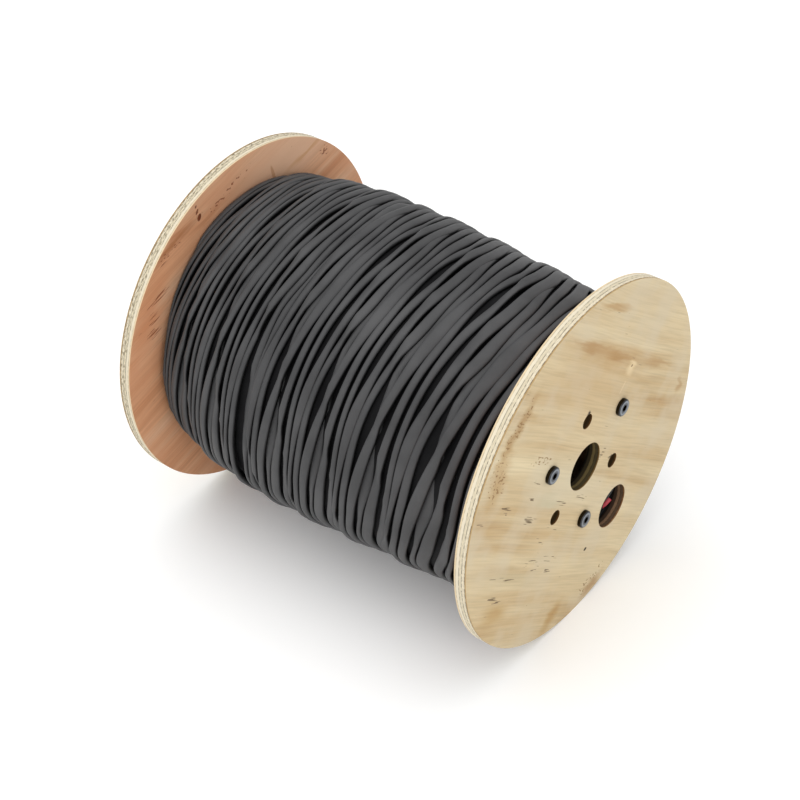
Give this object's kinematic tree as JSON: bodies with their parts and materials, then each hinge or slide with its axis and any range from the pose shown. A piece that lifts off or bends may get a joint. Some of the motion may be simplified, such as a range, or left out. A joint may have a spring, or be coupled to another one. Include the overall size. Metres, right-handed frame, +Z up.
{
  "type": "cable spool",
  "caption": "Full spool of flat two-core speaker cable on a paperboard drum between two round plywood flanges, lying on its rims.",
  "frame": {"origin": "on the floor under the middle of the spool: centre of the bounding box in X and Y, the flange rims' lowest line in Z", "axes": "+X along the drum axis towards the flange with the start hole, +Z up with the spool lying on its rims, +Y level across it"},
  "size_m": [0.3506, 0.305, 0.305],
  "materials": {
    "plywood": "sanded pine veneer, bare, plies showing on the rim",
    "paperboard": "spiral-wound kraft board",
    "cable_jacket": "matte dark grey PVC jacket",
    "zinc_steel": "zinc-plated steel with dark sides"
  },
  "bodies": {
    "root": {"flange_near": "plywood", "flange_far": "plywood", "drum_core": "paperboard", "cable_winding": "cable_jacket", "tie_bolt_1": "zinc_steel", "tie_bolt_2": "zinc_steel", "tie_bolt_3": "zinc_steel", "hex_nut_1": "zinc_steel", "hex_nut_2": "zinc_steel", "hex_nut_3": "zinc_steel"}
  },
  "joints": []
}
